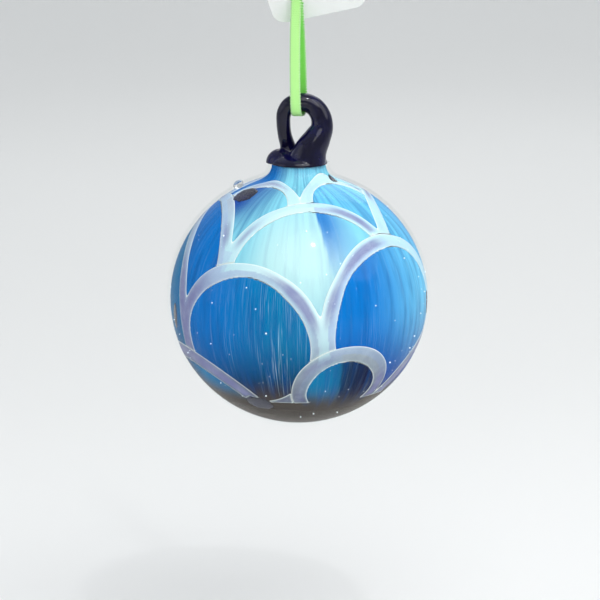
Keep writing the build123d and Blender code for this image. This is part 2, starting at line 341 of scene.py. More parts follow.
def make_ribbon_weave(colours):
    """Lime taffeta: ribs across, yarns along, and a front strand painted paler as in light, the back one
    darker as in shade.
    """
    material, tree, shader, _ = new_material("lime_ribbon_weave")
    uv = node(tree, "ShaderNodeUVMap", {"uv_map": "weave"}).outputs["UV"]
    parts = node(tree, "ShaderNodeSeparateXYZ", Vector=uv)
    weave_pitch = 0.80
    ribs, yarns = (maths(tree, "SINE", maths(tree, "MULTIPLY", parts.outputs[way], 2 * pi / weave_pitch))
                   for way in "XY")
    weave = maths(tree, "MULTIPLY", ribs, yarns)
    fuzz = grain(tree, object_place(tree), 2600.0, 3.0, 0.7)
    # Painted light and shade: the front strand turns paler, the back strand darker green.
    front = remap(tree, node(tree, "ShaderNodeSeparateXYZ", Vector=object_place(tree)).outputs["Y"],
                  0.0016, -0.0012)
    base = blend_colours(tree, front, rgba(colours.lime), rgba(colours.leaf))
    gap_shade_green, fuzz_green = (0.06, 0.33, 0.02, 1.0), (0.72, 1.0, 0.5, 1.0)
    notch_green, picot_green = (0.05, 0.36, 0.02, 1.0), (0.80, 1.0, 0.66, 1.0)
    # Painted shade: the gaps of the weave are darker green.
    threads = blend_colours(tree, remap(tree, weave, -0.8, 0.8, 0.55, 0.0), base, gap_shade_green)
    soft = blend_colours(tree, remap(tree, fuzz, 0.3, 0.8, 0.0, 0.25), threads, fuzz_green)
    edge = remap(tree, maths(tree, "ABSOLUTE", parts.outputs["Y"]), 1.0, 1.3)
    picots = blend_colours(tree, remap(tree, ribs, -0.3, 0.5), notch_green, picot_green)
    coat(tree, shader, blend_colours(tree, maths(tree, "MULTIPLY", edge, 0.75), soft, picots), 0.55)
    shader.inputs["Sheen Weight"].default_value = 0.35
    shader.inputs["Sheen Roughness"].default_value = 0.4
    tree.links.new(bump(tree, weave, 0.00005, 0.7), shader.inputs["Normal"])
    return material


def make_card(colours):
    """Matt white card with a faint tooth."""
    material, tree, shader, _ = new_material("white_tag_card")
    place = object_place(tree)
    mottle = remap(tree, grain(tree, place, 260.0, 4.0), 0.3, 0.8, 0.0, 0.10)
    pulp = (0.82, 0.80, 0.74, 1.0)
    coat(tree, shader, blend_colours(tree, mottle, rgba(colours.card), pulp), 0.8)
    tooth = grain(tree, place, 3800.0, 3.0, 0.7)
    tree.links.new(bump(tree, tooth, 0.00003, 0.35), shader.inputs["Normal"])
    return material


def make_studio_paper():
    """Pale paper for the studio's floor and wall."""
    material, tree, shader, _ = new_material("pale_studio_paper")
    shade = remap(tree, grain(tree, object_place(tree), 1.2, 2.0), 0.3, 0.7)
    paper = blend_colours(tree, shade, (0.80, 0.80, 0.79, 1.0), (0.84, 0.84, 0.83, 1.0))
    coat(tree, shader, paper, 0.95, 0.1)
    return material


def shared(name, maker, *values):
    """The material of this name, made the first time it is asked for."""
    return bpy.data.materials.get(name) or maker(*values)


# --- Mesh helpers ----------------------------------------------------------------------------------
def link_piece(name, mesh, material):
    """Put a mesh into the scene as a piece of its own."""
    piece = bpy.data.objects.new(name, mesh)
    bpy.context.scene.collection.objects.link(piece)
    mesh.materials.append(material)
    return piece


def new_piece(name, points, faces, material):
    """A smooth piece from its points and faces."""
    mesh = bpy.data.meshes.new(name)
    mesh.from_pydata([tuple(p) for p in points], [], [tuple(f) for f in faces])
    mesh.validate()
    mesh.shade_smooth()
    return link_piece(name, mesh, material)


def form_piece(name, form, material):
    """A piece from a bmesh, which is used up."""
    mesh = bpy.data.meshes.new(name)
    form.to_mesh(mesh)
    form.free()
    return link_piece(name, mesh, material)


def evaluated_mesh(piece):
    """A plain mesh of what a piece's modifiers or its curve make."""
    bpy.context.view_layer.update()
    return bpy.data.meshes.new_from_object(piece.evaluated_get(bpy.context.evaluated_depsgraph_get()))


def set_attribute(piece, name, values, kind="FLOAT"):
    """Store one number or one colour for each point."""
    layer = piece.data.attributes.new(name, kind, "POINT")
    field = "color" if kind == "FLOAT_COLOR" else "value"
    layer.data.foreach_set(field, np.ascontiguousarray(values, dtype=np.float32).ravel())


def set_hue(piece, hue):
    """Store the painted colour of each point."""
    set_attribute(piece, "hue", np.column_stack([hue, np.ones(len(hue))]), "FLOAT_COLOR")


def settle(piece, body, slot, *nodes):
    """Hang a finished piece on its body in place of CAD nodes."""
    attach(piece, body)
    if nodes:
        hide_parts(*nodes)


def smoothstep(low, high, value):
    """0 at low and 1 at high, with an easy start and end."""
    t = np.clip((value - low) / (high - low), 0.0, 1.0)
    return t * t * (3 - 2 * t)


def outward(longitude, latitude):
    """Unit direction from the web's centre, for arrays or single numbers in degrees."""
    around, up = np.radians(longitude), np.radians(latitude)
    return np.stack([np.cos(up) * np.sin(around), -np.cos(up) * np.cos(around), np.sin(up)], -1)


def blown_outline(sizes, depth, throat, step):
    """(radius, height) points of a blown surface from the bottom pole to the neck's flat top.

    The oval is three arcs with the 3-4-5 triangle between their centres, as in the solid model.
    """
    squash = BALL_RADIUS - HALF_HEIGHT
    cap, belt = HALF_HEIGHT + 1.5 * squash - depth, BALL_RADIUS - 2 * squash - depth
    meet = atan2(3, 4)
    shoulder = acos((throat + sizes.flare) / cap)
    points = []
    for start, end, radius, side, drop in ((-pi / 2, -meet, cap, 0.0, 1.5 * squash),
                                           (-meet, meet, belt, 2 * squash, 0.0),
                                           (meet, shoulder, cap, 0.0, -1.5 * squash)):
        count = max(2, round((end - start) / step))
        for angle in np.linspace(start, end, count + 1)[:-1]:
            points.append((side + radius * cos(angle), BALL_Z + drop + radius * sin(angle)))
    points[0] = (0.0, points[0][1])
    start = Vector((cap * cos(shoulder), BALL_Z - 1.5 * squash + cap * sin(shoulder)))
    bend = Vector((throat, start.y - cos(shoulder) / sin(shoulder) * (throat - start.x)))
    top = Vector((throat, NECK_Z))
    for t in np.linspace(0, 1, 13):
        points.append(tuple((1 - t) ** 2 * start + 2 * t * (1 - t) * bend + t ** 2 * top))
    return points


def lathe(outline, segments):
    """Turn (radius, height) points about the hanging line; a point on the axis becomes a pole."""
    rings, points, faces = [], [], []
    turn = np.linspace(0, 2 * pi, segments, endpoint=False)
    for radius, height in outline:
        if radius < 1e-7:
            rings.append([len(points)] * segments)
            points.append((0.0, 0.0, height))
            continue
        rings.append(list(range(len(points), len(points) + segments)))
        points.extend(zip(radius * np.cos(turn), radius * np.sin(turn), [height] * segments))
    for low, high in zip(rings, rings[1:]):
        for i in range(segments):
            j = (i + 1) % segments
            corner = [low[i], low[j], high[j], high[i]]
            faces.append(list(dict.fromkeys(corner)))
    return points, faces


# --- The web's fields --------------------------------------------------------------------------------
def arch_angles(directions, row):
    """Degrees from each arch of a row: negative inside its ring, one array an arch."""
    angles = []
    for longitude, latitude, size, *_ in WEB[row]:
        facing = np.clip(directions @ outward(longitude, latitude), -1, 1)
        angles.append(np.degrees(np.arccos(facing)) - size)
    return angles


def soft_max(values, rounding):
    """Largest of several fields, with its creases filled to this width."""
    stack = np.stack(values)
    top = stack.max(0)
    return top + rounding * np.log(np.exp((stack - top) / rounding).sum(0))


def hand_wobble(directions, scale, phase):
    """Slow unevenness over the ball, from -1 to 1."""
    x, y, z = (directions * scale).T
    return (np.sin(x + 1.7 * np.sin(y + phase)) + np.sin(1.3 * y + 1.9 * np.sin(z - phase))
            + np.sin(1.6 * z + 1.3 * np.sin(1.2 * x + 2 * phase))) / 3


def spot_field(directions, grow=0.0):
    """Positive inside a cobalt spot, 1 at its middle; grow is in millimetres."""
    fields = []
    for index, (longitude, latitude, half_width, half_height, tilt) in enumerate(SPOTS):
        axis, east = outward(longitude, latitude), outward(longitude + 90, 0)
        north = np.cross(axis, east)
        across, up = directions @ east, directions @ north
        turn = radians(tilt)
        u = across * cos(turn) + up * sin(turn)
        v = up * cos(turn) - across * sin(turn)
        reach = BALL_RADIUS / MM
        uneven = 1 + 0.10 * hand_wobble(directions, 55.0, index)
        span = np.hypot(u * reach / (half_width + grow), v * reach / (half_height + grow)) * uneven
        fields.append(np.where(directions @ axis > 0, 1 - span, -1.0))
    return np.max(fields, 0)


def trail_half(directions, row):
    """Half the width of a garland's trails in degrees, uneven as a hand lays them."""
    return TRAIL_HALVES[row] * (1 + 0.16 * hand_wobble(directions, 7.0, list(WEB).index(row)))


def row_field(directions, row):
    """Degrees inside the edge of a row's trails; negative off them."""
    crease, gap, corner, spot_room = 0.9, 0.12, 0.22, 0.25
    half = trail_half(directions, row)
    field = soft_max([half - np.abs(angle) for angle in arch_angles(directions, row)], crease)
    limits = [field, np.degrees(np.arcsin(directions[:, 2])) - WEB_FLOOR]
    for lower in list(WEB)[list(WEB).index(row) + 1:]:
        half = trail_half(directions, lower)
        edge = soft_max([half - angle for angle in arch_angles(directions, lower)], crease)
        limits.append(-edge - gap)
    limits.append(-8.0 * spot_field(directions, spot_room))
    return -soft_max([-limit for limit in limits], corner)


def field_grid(latitudes, longitudes):
    """Directions on a latitude and longitude grid closed round the ball, and its triangles."""
    lon, lat = np.meshgrid(longitudes, latitudes)
    directions = outward(lon.ravel(), lat.ravel())
    rows, columns = lon.shape
    index = np.arange(rows * columns).reshape(rows, columns)
    a, b = index[:-1], np.roll(index, -1, 1)[:-1]
    c, d = np.roll(index, -1, 1)[1:], index[1:]
    halves = [np.stack(corners, -1).reshape(-1, 3) for corners in ((a, b, c), (a, c, d))]
    return directions, np.concatenate(halves)


def keep_used(points, depth, faces):
    """Leave out the points that no face uses."""
    used = np.unique(faces)
    renumber = np.full(len(points), -1)
    renumber[used] = np.arange(len(used))
    return points[used], depth[used], renumber[faces]


def cut_by_field(directions, triangles, field):
    """Keep what lies where the field is positive, cut along its zero line.

    Returns directions, field and triangles; a point with field 0 is on the edge.
    """
    inside = field > 0
    count = inside[triangles].sum(1)
    kept = [tuple(t) for t in triangles[count == 3]]
    new_points, new_index = [], {}

    def crossing(i, j):
        key = (min(i, j), max(i, j))
        if key not in new_index:
            share = field[i] / (field[i] - field[j])
            new_index[key] = len(directions) + len(new_points)
            new_points.append(directions[i] * (1 - share) + directions[j] * share)
        return new_index[key]

    for triangle in triangles[(count == 1) | (count == 2)]:
        a, b, c = triangle
        while inside[a] == inside[c] or (inside[b] and inside[a]):
            a, b, c = b, c, a
        if inside[a]:
            kept.append((a, crossing(a, b), crossing(a, c)))
        else:
            p, q = crossing(a, b), crossing(a, c)
            kept.append((p, b, c))
            kept.append((p, c, q))
    points = np.concatenate([directions, np.array(new_points).reshape(-1, 3)])
    depth = np.concatenate([np.where(inside, field, 0.0), np.zeros(len(new_points))])
    return keep_used(points, depth, np.array(kept))


def drop_crumbs(points, depth, faces, least):
    """Leave out islands with fewer faces than this."""
    parent = list(range(len(points)))

    def root(i):
        while parent[i] != i:
            parent[i] = parent[parent[i]]
            i = parent[i]
        return i

    for a, b, c in faces:
        parent[root(a)] = root(b)
        parent[root(b)] = root(c)
    island = np.array([root(face[0]) for face in faces])
    names, counts = np.unique(island, return_counts=True)
    return keep_used(points, depth, faces[np.isin(island, names[counts >= least])])


def bead_mesh(surface, points, depth, faces, swell, rise, sink):
    """Close a cut patch into a lens: a crowned face outwards and a bellied one inwards."""
    share = np.clip(depth / swell, 0, 1)
    crown = np.sqrt(1 - (1 - share) ** 2)
    unit = points / np.linalg.norm(points, axis=1)[:, None]
    radius = surface(unit)
    centre = np.array([0, 0, CENTRE_Z])
    edge = depth <= 0
    outer = unit * (radius + rise * crown)[:, None] + centre
    inner_index = np.where(edge, np.arange(len(points)), len(points) + np.cumsum(~edge) - 1)
    inner = (unit * (radius - sink * crown)[:, None] + centre)[~edge]
    under = inner_index[faces][:, ::-1]
    return (np.concatenate([outer, inner]), np.concatenate([faces, under]),
            np.concatenate([depth, depth[~edge]]), np.concatenate([unit, unit[~edge]]))


def surface_radius(sizes, depth):
    """Distance from the web's centre to a blown surface, as a function of direction."""
    outline = np.array(blown_outline(sizes, depth, sizes.neck_radius - sizes.casing_wall, 0.01))
    height = outline[:, 1] - CENTRE_Z
    latitude, reach = np.arctan2(height, outline[:, 0]), np.hypot(outline[:, 0], height)
    order = np.argsort(latitude)
    return lambda unit: np.interp(np.arcsin(np.clip(unit[:, 2], -1, 1)), latitude[order], reach[order])


# --- Painting ----------------------------------------------------------------------------------------
def seam_longitude(latitude):
    """Where the two gathers of colour meet on the front, in degrees."""
    return 18.0 - 0.11 * latitude


def towards(hue, colour, share):
    """Painted colours turned into another by a share at each point."""
    return hue * (1 - share[:, None]) + colour * share[:, None]


def cell_hues(directions, longitude, latitude, shade, wobble):
    """Each cell's colours from left to right and down, with painted shade in the lower cells' dark bottoms;
    sky colours where no cell is.
    """
    hue = towards(shade["aqua"], shade["azure"], smoothstep(-15, -60, longitude))
    taken = np.zeros(len(directions), bool)
    for row in reversed(WEB):
        for arch, angle in zip(WEB[row], arch_angles(directions, row)):
            cell_longitude, cell_latitude, size, west, east, low = arch
            here = (angle < 0) & ~taken
            taken |= here
            beside = (longitude - cell_longitude + 180) % 360 - 180
            u = beside * np.cos(np.radians(latitude)) / size + 0.12 * wobble
            v = (latitude - cell_latitude) / size + 0.10 * wobble
            tone = towards(shade[west], shade[east], smoothstep(-0.55, 0.6, u))
            # Downwards each cell turns to its bottom colour; in the lower garlands this darkening is partly
            # painted shade.
            tone = towards(tone, shade[low], smoothstep(0.25, -0.85, v))
            hue = np.where(here[:, None], tone, hue)
    return hue


def in_front_cell(directions, latitude):
    """True in the large pale cell that faces the front."""
    inside = (arch_angles(directions, "web_row_2")[0] < 0) & (latitude > -30)
    for lower in ("web_row_3", "web_row_4"):
        for angle in arch_angles(directions, lower):
            inside &= angle > 0
    return inside


def paint_cells(directions, colours):
    """Colour, body, strength of the white streaks and of the dark ones, for each direction."""
    shade = {name: np.array(getattr(colours, name)) for name in OrnamentColours.__annotations__}
    latitude = np.degrees(np.arcsin(np.clip(directions[:, 2], -1, 1)))
    longitude = np.degrees(np.arctan2(directions[:, 0], -directions[:, 1]))
    wobble = hand_wobble(directions, 3.0, 0.4)
    hue = cell_hues(directions, longitude, latitude, shade, wobble)
    front_cell = in_front_cell(directions, latitude)
    # The front cell turns towards nearly white aqua round its upper middle: partly the cell's own pale
    # glass, partly painted light where the key highlight falls.
    pale_tint_and_painted_glow = np.exp(-((longitude - 1) / 26) ** 4 - ((latitude - 26) / 34) ** 2)
    hue = towards(hue, shade["pale"], 0.75 * pale_tint_and_painted_glow * front_cell)
    beyond = longitude - seam_longitude(latitude)
    past_seam = smoothstep(-0.4, 0.6, beyond) * smoothstep(26, 4, beyond) * smoothstep(8, 50, latitude)
    hue = towards(hue, shade["azure"], 0.9 * past_seam * front_cell)
    low_front = arch_angles(directions, "web_row_4")[0] < 0
    hue = towards(hue, shade["deep"], 0.8 * smoothstep(-0.5, 0.8, beyond) * low_front)
    # Towards the bottom the colour turns smoky: the clear glass's own tint, darkened partly as painted
    # shade.
    smoke_line = -36 - 3 * wobble - 9 * low_front
    smoky = smoothstep(smoke_line + 9, smoke_line - 9, latitude)
    hue = towards(hue, shade["smoke"], smoky)
    hue = towards(hue, shade["azure"], 0.7 * smoothstep(76, 84, latitude))
    body = 1 - 0.34 * smoothstep(-34, -56, latitude - 2 * wobble)
    streaks = 0.20 + 0.45 * np.exp(-((longitude + 8) / 9) ** 2) * smoothstep(30, 0, latitude)
    depth = np.where(front_cell, 0.35, 1.0) * (1 - smoky)
    return hue, body, streaks * (1 - smoky), depth


def paint_trails(unit, colours):
    """Milky at the top, with painted shade greying them towards the bottom and the left, and with the cell's
    colour showing through.
    """
    milk, trail_shade_slate, mauve = (np.array(getattr(colours, name)) for name in ("milk", "trail_shade_slate", "mauve"))
    latitude = np.degrees(np.arcsin(unit[:, 2]))
    longitude = np.degrees(np.arctan2(unit[:, 0], -unit[:, 1]))
    # Painted shade: low on the ball the trails turn grey-blue, and on the left, away from the light, towards
    # the mauve of their cores.
    low = smoothstep(-4, -40, latitude + 5 * hand_wobble(unit, 6.0, 1.1)) * 0.88
    side = smoothstep(-18, -58, longitude) * smoothstep(30, 5, latitude) * 0.75
    milky = 0.58
    hue = milk * milky + paint_cells(unit, colours)[0] * (1 - milky)
    return towards(towards(hue, mauve, side), trail_shade_slate, low)


# --- Operators ---------------------------------------------------------------------------------------
class Ornament:
    """What every operator of the add-on has in common."""
    bl_options = {"REGISTER", "UNDO"}

    @property
    def sizes(self):
        return bpy.context.scene.ornament_sizes

    @property
    def colours(self):
        return bpy.context.scene.ornament_colours


class ORNAMENT_OT_bubble(Ornament, bpy.types.Operator):
    """Blow the coloured bubble and the clear casing over it, with the bead left on the shoulder"""
    bl_idname = "ornament.bubble"
    bl_label = "Bubble and Casing"

    def execute(self, context):
        sizes = self.sizes
        throat = sizes.neck_radius - sizes.casing_wall
        colour_throat = throat - (sizes.colour_depth - sizes.casing_wall)
        inner_depth = sizes.colour_depth + sizes.colour_wall
        outer = blown_outline(sizes, sizes.colour_depth, colour_throat, radians(0.8))
        inner = blown_outline(sizes, inner_depth, sizes.neck_bore, radians(3.0))
        points, faces = lathe(outer + inner[::-1], 300)
        bubble = new_piece("colour_bubble_glass", points, faces,
                           shared("streaked_colour_glass", make_colour_glass))
        away = np.array(points) - [0, 0, CENTRE_Z]
        hue, body, streaks, depth = paint_cells(away / np.linalg.norm(away, axis=1)[:, None], self.colours)
        set_hue(bubble, hue)
        set_attribute(bubble, "body", body)
        set_attribute(bubble, "streaks", streaks)
        set_attribute(bubble, "depth", depth)
        settle(bubble, "ball", "blue_glass", "colour_bubble")

        skin = blown_outline(sizes, 0.0, sizes.neck_radius, radians(1.0))
        lining = blown_outline(sizes, sizes.casing_wall, throat, radians(2.0))
        points, faces = lathe(skin + lining[::-1], 240)
        casing = new_piece("clear_casing_glass", points, faces,
                           shared("clear_casing_glass", make_clear_glass))
        settle(casing, "ball", "clear_glass", "clear_casing")

        low, high = (Vector(corner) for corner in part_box("clear_drip"))
        axis = Vector(outward(*DRIP_PLACE))
        form = bmesh.new()
        bmesh.ops.create_icosphere(form, subdivisions=4, radius=(high.y - low.y) / 2)
        squat = Matrix.Diagonal((1.0, 1.0, 0.72))
        stand = axis.to_track_quat("Z", "Y").to_matrix()
        seat = Vector((0, 0, CENTRE_Z)) + axis * (BALL_RADIUS - 1.4 * MM)
        for vertex in form.verts:
            vertex.co = stand @ (squat @ vertex.co) + seat
        bead = form_piece("clear_drip_bead", form, shared("clear_bead_glass", make_bead_glass))
        bead.data.shade_smooth()
        settle(bead, "ball", "clear_glass", "clear_drip")
        return {"FINISHED"}


class ORNAMENT_OT_web(Ornament, bpy.types.Operator):
    """Lay the white trails of each garland and the cobalt spots on the bubble"""
    bl_idname = "ornament.web"
    bl_label = "Trails and Spots"

    def execute(self, context):
        sizes = self.sizes
        surface = surface_radius(sizes, sizes.colour_depth)
        degree = BALL_RADIUS * radians(1) / MM
        step, crumb = 0.55, 400
        directions, triangles = field_grid(np.arange(WEB_FLOOR - 2, 80, step), np.arange(-180, 180, step))
        for row, half in TRAIL_HALVES.items():
            patch = cut_by_field(directions, triangles, row_field(directions, row))
            patch = drop_crumbs(*patch, crumb)
            points, faces, depth, unit = bead_mesh(surface, *patch, half, sizes.trail_rise, 0.3 * MM)
            trail = new_piece(f"{row}_trail", points, faces,
                              shared("milk_trail_glass", make_trail_glass, self.colours))
            set_attribute(trail, "inset", depth * degree)
            set_hue(trail, paint_trails(unit, self.colours))
            settle(trail, "ball", "white_trail", row)

        step = 0.4
        directions, triangles = field_grid(np.arange(-58, 80, step), np.arange(-180, 180, step))
        patch = cut_by_field(directions, triangles, spot_field(directions))
        points, faces, _, _ = bead_mesh(surface, *patch, 0.35, sizes.trail_rise, 0.4 * MM)
        spots = new_piece("cobalt_spots_glass", points, faces,
                          shared("cobalt_gloss_glass", make_cobalt_glass, self.colours))
        settle(spots, "ball", "cobalt_glass", "cobalt_spots")
        return {"FINISHED"}


def seed_tree():
    """Geometry nodes that scatter small bubbles over a surface."""
    tree = bpy.data.node_groups.new("Seed Bubbles", "GeometryNodeTree")
    for name, kind in (("Surface", "NodeSocketGeometry"), ("Density", "NodeSocketFloat"),
                       ("Largest Radius", "NodeSocketFloat"), ("Seed", "NodeSocketInt"),
                       ("Material", "NodeSocketMaterial")):
        tree.interface.new_socket(name=name, in_out="INPUT", socket_type=kind)
    tree.interface.new_socket(name="Bubbles", in_out="OUTPUT", socket_type="NodeSocketGeometry")
    inputs = tree.nodes.new("NodeGroupInput").outputs
    scatter = node(tree, "GeometryNodeDistributePointsOnFaces", Mesh=inputs["Surface"],
                   Density=inputs["Density"], Seed=inputs["Seed"])
    ball = node(tree, "GeometryNodeMeshIcoSphere", Radius=1.0, Subdivisions=2)
    pick = node(tree, "FunctionNodeRandomValue", {"data_type": "FLOAT"}, Seed=inputs["Seed"])
    pick.inputs[2].default_value, pick.inputs[3].default_value = 0.0, 1.0
    share = maths(tree, "MULTIPLY_ADD", maths(tree, "POWER", pick.outputs[1], 3.0), 0.7, 0.3)
    radius = maths(tree, "MULTIPLY", share, inputs["Largest Radius"])
    placed = node(tree, "GeometryNodeInstanceOnPoints", Points=scatter.outputs["Points"],
                  Instance=ball.outputs["Mesh"], Scale=radius)
    real = node(tree, "GeometryNodeRealizeInstances", Geometry=placed.outputs[0])
    coated = node(tree, "GeometryNodeSetMaterial", Geometry=real.outputs[0], Material=inputs["Material"])
    end = tree.nodes.new("NodeGroupOutput")
    tree.links.new(coated.outputs[0], end.inputs["Bubbles"])
    return tree


def grown(piece, tree, values):
    """Run a node tree on a piece and keep the plain mesh that it gives."""
    modifier = piece.modifiers.new("grow", "NODES")
    modifier.node_group = tree
    for item in tree.interface.items_tree:
        if item.in_out == "INPUT" and item.name in values:
            modifier[item.identifier] = values[item.name]
    mesh = evaluated_mesh(piece)
    piece.modifiers.remove(modifier)
    old = piece.data
    piece.data = mesh
    bpy.data.meshes.remove(old)


class ORNAMENT_OT_seeds(Ornament, bpy.types.Operator):
    """Scatter seed bubbles in the glass just over the colour"""
    bl_idname = "ornament.seeds"
    bl_label = "Seed Bubbles"

    def execute(self, context):
        sizes = self.sizes
        over_colour, lowest, highest = 0.30 * MM, -34 * MM, 30 * MM
        depth = sizes.casing_wall - over_colour
        outline = [p for p in blown_outline(sizes, depth, sizes.neck_radius - depth, radians(3))
                   if lowest < p[1] - CENTRE_Z < highest]
        points, faces = lathe(outline, 120)
        seeds = new_piece("seed_bubbles", points, faces, shared("seed_bubble_glass", make_seed_glass))
        grown(seeds, seed_tree(), {"Density": sizes.seed_density, "Largest Radius": sizes.seed_radius,
                                   "Seed": 11, "Material": bpy.data.materials["seed_bubble_glass"]})
        seeds.data.shade_smooth()
        settle(seeds, "ball", "clear_glass")
        return {"FINISHED"}


# --- Swept strips and rods ---------------------------------------------------------------------------
def through_points(points, steps):
    """Smooth line through points of any width, a Catmull-Rom curve."""
    p = np.array(points, float)
    p = np.vstack([2 * p[0] - p[1], p, 2 * p[-1] - p[-2]])
    line = []
    for i in range(1, len(p) - 2):
        for t in np.linspace(0, 1, steps, endpoint=False):
            line.append(0.5 * (2 * p[i] + (p[i + 1] - p[i - 1]) * t
                               + (2 * p[i - 1] - 5 * p[i] + 4 * p[i + 1] - p[i + 2]) * t ** 2
                               + (3 * p[i] - p[i - 1] - 3 * p[i + 1] + p[i + 2]) * t ** 3))
    line.append(p[-2])
    return np.array(line)


def unit_rows(rows):
    """Each row at length 1."""
    return rows / np.linalg.norm(rows, axis=1)[:, None]


def sweep(line, sections, across):
    """Skin closed sections along a line. across gives each section's first axis; ends are capped."""
    along = unit_rows(np.gradient(line, axis=0))
    side = unit_rows(across - (across * along).sum(1)[:, None] * along)
    face = np.cross(along, side)
    points, faces = [], []
    size = len(sections[0])
    for centre, u, v, section in zip(line, side, face, sections):
        points.extend(centre + u * x + v * y for x, y in section)
    for i in range(len(line) - 1):
        for j in range(size):
            k = (j + 1) % size
            faces.append((i * size + j, i * size + k, (i + 1) * size + k, (i + 1) * size + j))
    last = (len(line) - 1) * size
    faces.append(tuple(range(size))[::-1])
    faces.append(tuple(range(last, last + size)))
    return points, faces


def carried_axis(line, first):
    """An axis carried along a line with as little turning as possible."""
    axis, axes = np.array(first, float), []
    for direction in unit_rows(np.gradient(line, axis=0)):
        axis = axis - (axis @ direction) * direction
        axis /= np.linalg.norm(axis)
        axes.append(axis)
    return np.array(axes)


# Stations along the hook's rod: x, y in millimetres, height over the neck as a share of the hook's
# rise, and thickness as a share of the rod's at the crown.
HOOK_ROD = [(2.2, -2.0, -0.027, 2.26), (3.6, -1.8, 0.224, 1.85), (5.6, -1.4, 0.426, 1.51),
            (6.9, -0.9, 0.590, 1.26), (6.6, -0.4, 0.765, 1.15), (5.0, -0.1, 0.907, 1.09),
            (2.6, 0.0, 0.989, 1.04), (0.0, 0.0, 1.0, 1.0), (-2.7, 0.2, 0.955, 0.90),
            (-4.4, 0.5, 0.82, 0.81), (-4.6, 0.9, 0.64, 0.77), (-4.2, 1.7, 0.437, 0.77),
            (-3.3, 2.7, 0.246, 0.87), (-2.8, 3.0, 0.060, 1.21), (-2.7, 3.1, -0.049, 1.36)]
ROD_RADIUS = 2.65 * MM
FOOT_RADIUS = 8.6 * MM
FOOT_HEIGHT = 3.2 * MM
LOBE_RADIUS = 4.3 * MM
LOBE_PLACE = Vector((-5.6 * MM, 0.6 * MM, NECK_Z - 0.2 * MM))


def rod_form():
    """The bent rod, its foot and its lobe, one through another."""
    rise = CROWN.z - NECK_Z
    melt_loss = 0.08 * MM
    stations = [(x * MM, y * MM, NECK_Z + share * rise, thick * ROD_RADIUS + melt_loss)
                for x, y, share, thick in HOOK_ROD]
    smooth = through_points(stations, 9)
    line, radii = smooth[:, :3], smooth[:, 3]
    turn = np.linspace(0, 2 * pi, 28, endpoint=False)
    rings = [np.column_stack([r * np.cos(turn), r * np.sin(turn)]) for r in radii]
    points, faces = sweep(line, rings, carried_axis(line, (0, 1, 0)))
    form = bmesh.new()
    corners = [form.verts.new(p) for p in points]
    for face in faces:
        form.faces.new([corners[i] for i in face])
    bmesh.ops.create_icosphere(form, subdivisions=4, radius=LOBE_RADIUS,
                               matrix=Matrix.Translation(LOBE_PLACE))
    foot = Matrix.Translation((0, 0, NECK_Z)) @ Matrix.Diagonal((1, 1, FOOT_HEIGHT / FOOT_RADIUS, 1))
    bmesh.ops.create_icosphere(form, subdivisions=5, radius=FOOT_RADIUS, matrix=foot)
    bmesh.ops.recalc_face_normals(form, faces=form.faces)
    return form


def fuse(piece, voxel):
    """Melt a piece's parts into one skin."""
    remesh = piece.modifiers.new("fuse", "REMESH")
    remesh.mode, remesh.voxel_size = "VOXEL", voxel
    melt = piece.modifiers.new("melt", "SMOOTH")
    melt.factor, melt.iterations = 0.5, 6
    fused, old = evaluated_mesh(piece), piece.data
    piece.modifiers.clear()
    piece.data = fused
    bpy.data.meshes.remove(old)


def cut_flat(mesh, height):
    """Cut a mesh off below this height and close it."""
    form = bmesh.new()
    form.from_mesh(mesh)
    everything = form.verts[:] + form.edges[:] + form.faces[:]
    cut = bmesh.ops.bisect_plane(form, geom=everything, plane_co=(0, 0, height), plane_no=(0, 0, 1),
                                 clear_inner=True)
    rim = [g for g in cut["geom_cut"] if isinstance(g, bmesh.types.BMEdge)]
    bmesh.ops.holes_fill(form, edges=rim, sides=0)
    bmesh.ops.triangulate(form, faces=[f for f in form.faces if len(f.verts) > 4])
    bmesh.ops.recalc_face_normals(form, faces=form.faces)
    form.to_mesh(mesh)
    form.free()


class ORNAMENT_OT_hook(Ornament, bpy.types.Operator):
    """Draw the cobalt hook: a rod looped over and pressed onto its own foot"""
    bl_idname = "ornament.hook"
    bl_label = "Glass Hook"

    def execute(self, context):
        cobalt = shared("cobalt_gloss_glass", make_cobalt_glass, self.colours)
        hook = form_piece("cobalt_hook_glass", rod_form(), cobalt)
        fuse(hook, 0.22 * MM)
        cut_flat(hook.data, NECK_Z)
        hook.data.materials.clear()
        hook.data.materials.append(cobalt)
        hook.data.shade_smooth()
        settle(hook, "ball", "cobalt_glass", "hook")
        return {"FINISHED"}


# The ribbon's route, in metres: down in front of the rod, under it and up behind. It follows the solid
# model's, with the strands a little apart sideways at the rod and one more point on each straight run.
RIBBON_ROUTE = [
    (0.0, -0.0009, -0.0003), (0.0, -0.0034, -0.0046), (-0.0002, -0.0042, -0.0124),
    (-0.0007, -0.00036, -0.0434), (-0.0012, -0.0019, -0.0567), (-0.00105, -0.0044, -0.0766),
    (-0.0004, -0.0018, -0.0790), (0.0004, 0.0018, -0.0790),
    (0.00105, 0.0044, -0.0766), (0.0005, 0.0019, -0.0567), (-0.0005, 0.00036, -0.0426),
    (0.0002, 0.0043, -0.0131), (0.0, 0.0035, -0.0049), (0.0, 0.00095, -0.0003)]


